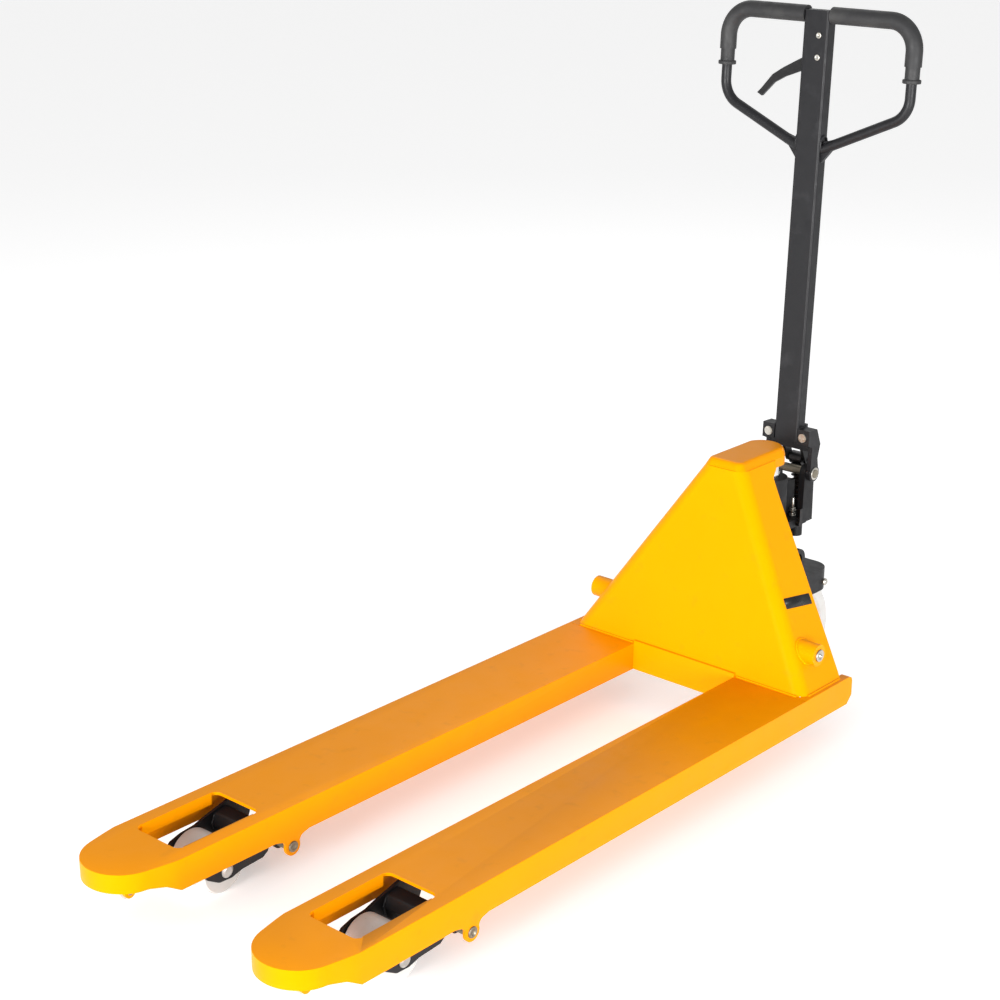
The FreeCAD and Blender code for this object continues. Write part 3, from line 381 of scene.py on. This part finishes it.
def bent_fork(word, side):
    """The fork as bent sheet: a copy of its CAD shape with the outer top edge rounded."""
    name = "fork_" + word
    mesh = bmesh.new()
    mesh.from_mesh(frame["nodes"][name].data)
    bmesh.ops.remove_doubles(mesh, verts=mesh.verts, dist=1e-6)
    bmesh.ops.dissolve_limit(mesh, angle_limit=math.radians(0.5), verts=mesh.verts, edges=mesh.edges)
    rim = []
    for edge in mesh.edges:
        middle = (edge.verts[0].co + edge.verts[1].co) / 2
        outer = abs(middle.x - side * FORK_X) > FORK_RIM or middle.y < NOSE_START
        on_top = all(v.co.z > DECK - 1e-4 for v in edge.verts)
        if outer and on_top and len(edge.link_faces) == 2 and edge.calc_face_angle() > math.radians(60):
            rim.append(edge)
    bmesh.ops.bevel(mesh, geom=rim, offset=RIM_ROUND, segments=4, profile=0.5, affect="EDGES", clamp_overlap=True)
    piece = finish_mesh(name + "_sheet", mesh, FORK_PAINT_SHADED, "chassis")
    piece.data.set_sharp_from_angle(angle=math.radians(34))
    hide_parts(name)


bent_fork("left", -1)
bent_fork("right", 1)

# Where the rocker shaft and the wheel brackets' pivots cross the middle plane.
SHAFT = Vector((0, FACE + 0.060, DECK + 0.060))
PIVOT = Vector((0, FACE - 0.837, DECK - 0.068))
BOSS_RADIUS = 0.0195

foot_z = DECK + 0.0005
front_y = front_at(0) - 0.001
side_x = SIDE_FOOT + 0.0009
beads = []
for side in (-1, 1):
    beads.append([Vector((side * x, front_y, foot_z)) for x in (0.112, 0.238)])
    beads.append([Vector((side * side_x, FACE + y, foot_z)) for y in (0.02, 0.118)])
weld("shell_foot_welds", beads, BEAD, CHASSIS_PAINT_LIT, "chassis")

rings = [oval(lambda height, side=side: side * (side_at(height - DECK) + 0.0008), SHAFT.y, SHAFT.z,
              BOSS_RADIUS, BOSS_RADIUS, 40) for side in (-1, 1)]
weld("boss_welds", rings, BEAD, CHASSIS_PAINT_LIT, "chassis", closed=True)

ends = []
for side in (-1, 1):
    for x, way in ((0.2609, 1), (0.1091, -1)):
        ends.append((PIVOT + Vector((side * x, 0, 0)), (side * way, 0, 0)))
buttons("pivot_shaft_faces", ends,
        [(0, 0.0088), (0.0008, 0.0088), (0.0014, 0.0080), (0.0014, 0.0050), (0.0002, 0.0046), (0.0002, 0)],
        DULL, "chassis")
buttons("shaft_grease_nipples", [(SHAFT + Vector((side * 0.2449, 0, 0)), (side, 0, 0)) for side in (-1, 1)],
        [(0, 0.0108), (0.0009, 0.0106), (0.0012, 0.0098), (0.0012, 0.0060), (0.0002, 0.0056), (0.0002, 0.0030),
         (0.0030, 0.0028), (0.0032, 0.0018), (0.0044, 0.0021), (0.0052, 0.0010), (0.0053, 0)],
        ZINC, "chassis")

# The blank label on the chassis side: half its length and height, its corners, and how it lies on the plate.
LABEL_HALF = (0.0355, 0.0095)
LABEL_CORNER = 0.002
LABEL_TILT = 0.15
LABEL_RISE = 0.129
LABEL_THICKNESS = 0.0006

label = bmesh.new()
slope = Vector((-SIDE_SLOPE, 0, 1)).normalized()
outward = Vector((1, 0, SIDE_SLOPE)).normalized()
middle = Vector((side_at(LABEL_RISE), FACE + 0.097, DECK + LABEL_RISE)) + outward * 0.0004
along = (Vector((0, 1, 0)) - slope * LABEL_TILT).normalized()
upward = outward.cross(along)
outline = []
for step in range(32):
    turn = 2 * math.pi * step / 32
    across, up = (math.copysign(half - LABEL_CORNER, swing) + LABEL_CORNER * swing
                  for half, swing in zip(LABEL_HALF, (math.cos(turn), math.sin(turn))))
    outline.append(label.verts.new(middle + along * across + upward * up))
grown = bmesh.ops.extrude_face_region(label, geom=[label.faces.new(outline)])
raised = [item for item in grown["geom"] if isinstance(item, bmesh.types.BMVert)]
bmesh.ops.translate(label, vec=outward * LABEL_THICKNESS, verts=raised)
finish_mesh("blank_label", label, LABEL, "chassis")

# ------------------------------------------------------------ rocker, brackets and pump

# Where the rocker's arms meet its cross tube, and the tube's radius.
ARM_FACES = (0.0505, 0.0615, 0.1735)
TUBE_RADIUS = 0.0192
rings = [oval(side * x, SHAFT.y, SHAFT.z, TUBE_RADIUS, TUBE_RADIUS, 36) for side in (-1, 1) for x in ARM_FACES]
weld("rocker_welds", rings, BEAD, BLACK, "rocker", closed=True)

CHEEK_X = 0.0400
CHEEK_SEAM = ((-0.8915, -0.031), (-0.8985, -0.046), (-0.8935, -0.062))
for word, side in (("left", -1), ("right", 1)):
    seams = []
    for cheek in (-1, 1):
        x = side * FORK_X + cheek * CHEEK_X
        seams.append([Vector((x, FACE + y, DECK + z)) for y, z in CHEEK_SEAM])
    weld("bracket_welds_" + word, seams, SMALL_BEAD, BLACK, "bracket_" + word)

PUMP_Y = FACE + 0.250
SCREW_X, SCREW_Y = 0.018, 0.698
shank = [(0, 0), (0, 0.0030), (0.0335, 0.0030), (0.0345, 0.0022), (0.0345, 0)]
mesh = bmesh.new()
turned(mesh, shank, (SCREW_X, SCREW_Y, 0.3119), (0, 0, 1), 20)
for height in (0.3121, 0.3215):
    hexagon(mesh, (SCREW_X, SCREW_Y, height), (0, 0, 1), 0.0096, 0.0052)
finish_mesh("lowering_screw", mesh, ZINC, "steering")
mesh = bmesh.new()
hexagon(mesh, (0, PUMP_Y + 0.1060, 0.3045), (0, 1, 0), 0.0105, 0.0042)
finish_mesh("valve_plug", mesh, ZINC, "steering")
weld("leg_welds", [[Vector((x, PUMP_Y + y, 0.2118)) for y in (-0.018, 0.038)] for x in (-0.0126, 0.0126)],
     BEAD, CASTING, "steering")
buttons("hinge_pin_clips", [((side * 0.0503, HINGE.y, HINGE.z), (side, 0, 0)) for side in (-1, 1)],
        [(0, 0.0078), (0, 0.0112), (0.0003, 0.0116), (0.0010, 0.0116), (0.0013, 0.0112), (0.0013, 0.0078)],
        ZINC, "steering")
buttons("steer_axle_faces", [((side * 0.0689, FACE + 0.266, 0.100), (side, 0, 0)) for side in (-1, 1)],
        [(0, 0.0096), (0.0007, 0.0092), (0.0009, 0.0040), (-0.0004, 0.0018), (-0.0004, 0)], STEEL, "steering")
buttons("collar_nipple", [((0, PUMP_Y - 0.0438, 0.240), (0, -1, 0))],
        [(0, 0.0050), (0.0020, 0.0050), (0.0022, 0.0030), (0.0040, 0.0028), (0.0052, 0.0012), (0.0053, 0)],
        ZINC, "collar")

# ------------------------------------------------------------ handle

# These pieces are placed in the handle's own frame, whose origin is the hinge.
MAST_SIDE = 0.0256
MAST_MIDDLE = -0.0145
MAST_FOOT = ((MAST_SIDE, -0.026), (MAST_SIDE, -0.0014), (-MAST_SIDE, -0.0014), (-MAST_SIDE, -0.026))
weld("mast_foot_welds", [[Vector((x, y, 0.0842)) for x, y in MAST_FOOT]],
     SMALL_BEAD, BLACK, "handle", HANDLE)

pin = [(-0.0015, 0), (-0.0015, 0.0044), (0.0012, 0.0052), (0.0018, 0.0050), (0.0018, 0.0026), (0.0006, 0.0022),
       (0.0006, 0)]
mesh = bmesh.new()
for height in (0.778, 0.741):
    turned(mesh, pin, (0.008, -0.0272, height), (0, -1, 0), 20)
finish_mesh("mast_spring_pins", mesh, ZINC, "handle", HANDLE)

rings = [oval(side * MAST_SIDE, MAST_MIDDLE, 0.5935, 0.0098, 0.015, 28) for side in (-1, 1)]
weld("loop_root_welds", rings, BEAD, BLACK, "handle", HANDLE, closed=True)

GRIP_X = 0.188
collar = [(0, 0.0088), (0, 0.0152), (0.0012, 0.0158), (0.0052, 0.0158), (0.0064, 0.0152), (0.0064, 0.0088)]
mesh = bmesh.new()
for side in (-1, 1):
    turned(mesh, collar, (side * GRIP_X, MAST_MIDDLE, 0.7128), (0, 0, 1), 32)
finish_mesh("grip_end_beads", mesh, GRIP, "handle", HANDLE)

# ------------------------------------------------------------ stage, light and camera

FLOOR_REACH = 30
FLOOR_Z = -0.0005
corners = [(x * FLOOR_REACH, y * FLOOR_REACH, FLOOR_Z) for x, y in ((-1, -1), (1, -1), (1, 1), (-1, 1))]
floor_mesh = bpy.data.meshes.new("floor")
floor_mesh.from_pydata(corners, [], [(0, 1, 2, 3)])
floor = bpy.data.objects.new("floor", floor_mesh)
bpy.context.scene.collection.objects.link(floor)
floor_material, _, floor_main = shader("pale_floor", Roughness=0.9)
floor_main.inputs["Base Color"].default_value = (0.9, 0.9, 0.9, 1)
floor_main.inputs["Emission Color"].default_value = (1, 1, 1, 1)
floor_main.inputs["Emission Strength"].default_value = 0.35
dress(floor, floor_material)

world = bpy.data.worlds.new("studio")
world.use_nodes = True
world.node_tree.nodes["Background"].inputs["Color"].default_value = (1, 1, 1, 1)
world.node_tree.nodes["Background"].inputs["Strength"].default_value = 0.6
bpy.context.scene.world = world


def lamp(name, at, target, side, power):
    """A soft square light aimed at a point."""
    data = bpy.data.lights.new(name, "AREA")
    data.size = side
    data.energy = power
    item = bpy.data.objects.new(name, data)
    item.location = at
    item.rotation_euler = (Vector(target) - Vector(at)).to_track_quat("-Z", "Y").to_euler()
    bpy.context.scene.collection.objects.link(item)


lamp("key", (4.4, -1.4, 0.9), (0, 0, 0.3), 1.8, 180)
lamp("front", (0.4, -5.0, 0.9), (0, 0, 0.3), 1.8, 270)
lamp("back", (-2.0, 2.6, 3.0), (0, 0.3, 0.4), 2.0, 20)
bpy.context.scene.view_settings.view_transform = "Standard"

# The camera's heading from -Y, its dip below level and its roll, in degrees.
HEADING, DIP, ROLL = 41.57, 19.29, 0.15
camera = bpy.data.objects.new("camera", bpy.data.cameras.new("camera"))
camera.data.lens = 73.75
camera.data.sensor_width = 36
camera.location = (1.9661, -2.3068, 1.5788)
turn = (Matrix.Rotation(math.radians(HEADING), 3, "Z") @ Matrix.Rotation(math.radians(90 - DIP), 3, "X")
        @ Matrix.Rotation(math.radians(ROLL), 3, "Z"))
camera.rotation_euler = turn.to_euler()
bpy.context.scene.collection.objects.link(camera)
bpy.context.scene.camera = camera
